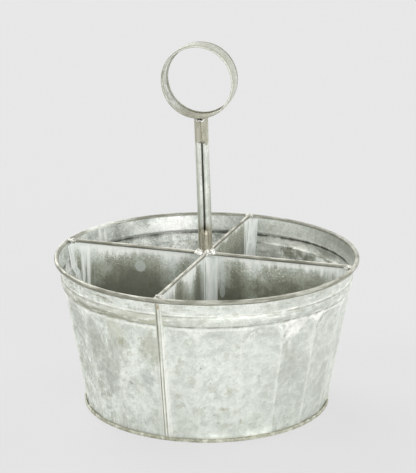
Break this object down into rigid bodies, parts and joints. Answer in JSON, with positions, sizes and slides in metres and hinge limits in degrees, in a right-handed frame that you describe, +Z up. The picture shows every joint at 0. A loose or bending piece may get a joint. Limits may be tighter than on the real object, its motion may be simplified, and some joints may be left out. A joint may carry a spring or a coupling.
{
  "type": "cutlery caddy",
  "caption": "Round tapered tin caddy with a fluted wall and a wired rim, split by crossed upright dividers, carried by a slit tube with a ring handle on top.",
  "frame": {"origin": "on the table, at the centre of the bottom of the caddy's bounding box", "axes": "+Z up along the bucket's axis, X along the long divider, -Y towards the bucket's side seam"},
  "size_m": [0.2248, 0.2248, 0.2689],
  "materials": {
    "wall_zinc": "chalky galvanised zinc with grey and olive mottling",
    "base_zinc": "dulled galvanised zinc, olive where it is folded",
    "divider_zinc": "weathered galvanised zinc with streaks",
    "handle_zinc": "galvanised zinc, darkened at the soldered ends",
    "wire_steel": "drawn steel wire",
    "solder": "pale matt solder"
  },
  "bodies": {
    "root": {"bucket_wall": "wall_zinc", "rim_wire": "wire_steel", "base_pan": "base_zinc", "long_divider": "divider_zinc", "front_divider": "divider_zinc", "back_divider": "divider_zinc", "left_end_solder": "solder", "right_end_solder": "solder", "front_end_solder": "solder", "back_end_solder": "solder", "handle_stem": "handle_zinc", "handle_ring": "handle_zinc", "cross_solder": "solder", "ring_solder": "solder"}
  },
  "joints": []
}
